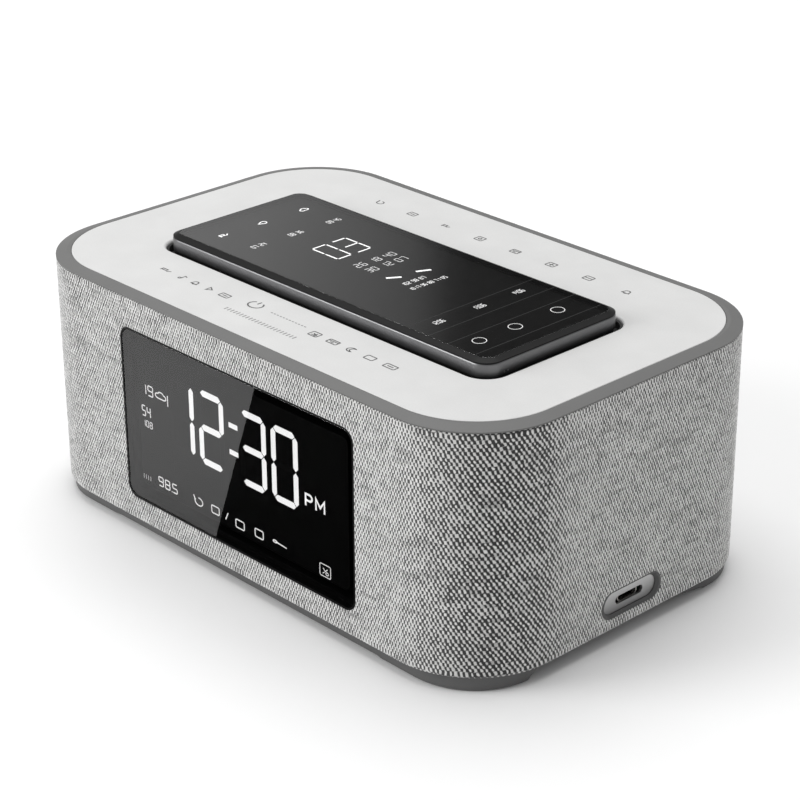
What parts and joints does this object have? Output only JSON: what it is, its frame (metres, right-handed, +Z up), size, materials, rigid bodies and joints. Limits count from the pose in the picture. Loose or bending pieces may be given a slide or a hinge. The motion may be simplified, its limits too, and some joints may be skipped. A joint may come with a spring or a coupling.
{
  "type": "clock radio",
  "caption": "Fabric-wrapped bedside clock radio with a lit seven-segment display, touch-marked top, charging well holding a lift-out touch slate, and a side charging port.",
  "frame": {"origin": "on the surface that it stands on, below the middle of the cabinet", "axes": "+Z up, +X to the right seen from the front, the display faces -Y"},
  "size_m": [0.22, 0.138, 0.0927],
  "materials": {
    "woven_fabric": "two-tone basket weave, matt",
    "shell_plastic": "moulded, hidden behind the fabric",
    "base_grey": "fine moulded texture",
    "rubber_black": "matt",
    "screw_steel": "zinc plated",
    "rim_grey": "satin",
    "plate_white": "fine satin",
    "liner_rubber": "matt",
    "frame_black": "gloss",
    "lens_smoked": "smoked acrylic, polished",
    "reflector_black": "matt",
    "segment_lit": "lit diffuser",
    "segment_dark": "diffuser, unlit",
    "circuit_board": "solder mask",
    "chip_black": "moulded",
    "cup_grey": "satin",
    "port_metal": "bead blasted",
    "nickel": "nickel plated",
    "foam_black": "closed-cell foam",
    "basket_steel": "black paint",
    "ferrite_grey": "sintered",
    "yoke_steel": "zinc plated",
    "cone_paper": "coated pulp",
    "copper": "enamelled copper",
    "bracket_plastic": "moulded",
    "can_aluminium": "satin",
    "tin_plate": "tin plated",
    "socket_cream": "moulded",
    "wire_sleeve": "insulation",
    "ribbon_grey": "flat flexible cable",
    "cell_steel": "polished",
    "contact_brass": "sprung",
    "slate_black": "gloss",
    "slate_metal": "dark anodised",
    "slate_glass": "polished",
    "panel_black": "lit panel",
    "pouch_foil": "foil"
  },
  "bodies": {
    "cabinet": {"aerial_strip": "circuit_board", "amplifier_heatsink": "can_aluminium", "base_screws": "screw_steel", "base_tray": "base_grey", "board_chips": "chip_black", "board_screws": "screw_steel", "board_sockets": "socket_cream", "cabinet_shell": "shell_plastic", "capacitors": "can_aluminium", "cell_contact": "contact_brass", "cell_holder": "chip_black", "charger_board": "circuit_board", "charger_chips": "chip_black", "charging_coil": "copper", "coil_bracket": "bracket_plastic", "coin_cell": "cell_steel", "display_frame": "frame_black", "display_lens": "lens_smoked", "display_reflector": "reflector_black", "display_ribbon": "ribbon_grey", "fabric_sleeve": "woven_fabric", "ferrite_sheet": "ferrite_grey", "foot_pads": "rubber_black", "led_board": "circuit_board", "led_board_chips": "chip_black", "lit_segments": "segment_lit", "main_board": "circuit_board", "port_board": "circuit_board", "port_cup": "cup_grey", "port_plate": "port_metal", "speaker_basket_left": "basket_steel", "speaker_basket_right": "basket_steel", "speaker_gaskets": "foam_black", "speaker_leads": "wire_sleeve", "speaker_magnet_left": "ferrite_grey", "speaker_magnet_right": "ferrite_grey", "speaker_screws": "screw_steel", "speaker_surrounds": "rubber_black", "speaker_yoke_left": "yoke_steel", "speaker_yoke_right": "yoke_steel", "top_plate": "plate_white", "top_rim": "rim_grey", "touch_boards": "circuit_board", "touch_electrodes": "copper", "tuner_shield": "tin_plate", "unlit_segments": "segment_dark", "usb_c_shell": "nickel", "usb_c_tongue": "chip_black", "well_liner": "liner_rubber"},
    "slate": {"slate_back": "slate_black", "slate_band": "slate_metal", "slate_battery": "pouch_foil", "slate_board": "circuit_board", "slate_coil": "copper", "slate_glass": "slate_glass", "slate_panel": "panel_black", "slate_surround": "slate_black"},
    "cone_left": {"speaker_cone_left": "cone_paper"},
    "cone_right": {"speaker_cone_right": "cone_paper"},
    "battery_door": {"battery_door": "base_grey"}
  },
  "joints": [
    {"name": "slate_lift", "type": "slide", "parent": "cabinet", "child": "slate", "axis": [0, 0, 1], "range_m": [0, 0.06]},
    {"name": "cone_left_stroke", "type": "slide", "parent": "cabinet", "child": "cone_left", "axis": [-1, 0, 0], "range_m": [-0.0015, 0.0015], "stiffness_N_per_m": 300},
    {"name": "cone_right_stroke", "type": "slide", "parent": "cabinet", "child": "cone_right", "axis": [1, 0, 0], "range_m": [-0.0015, 0.0015], "stiffness_N_per_m": 300},
    {"name": "battery_door_slide", "type": "slide", "parent": "cabinet", "child": "battery_door", "axis": [0, 1, 0], "range_m": [0, 0.025]}
  ]
}
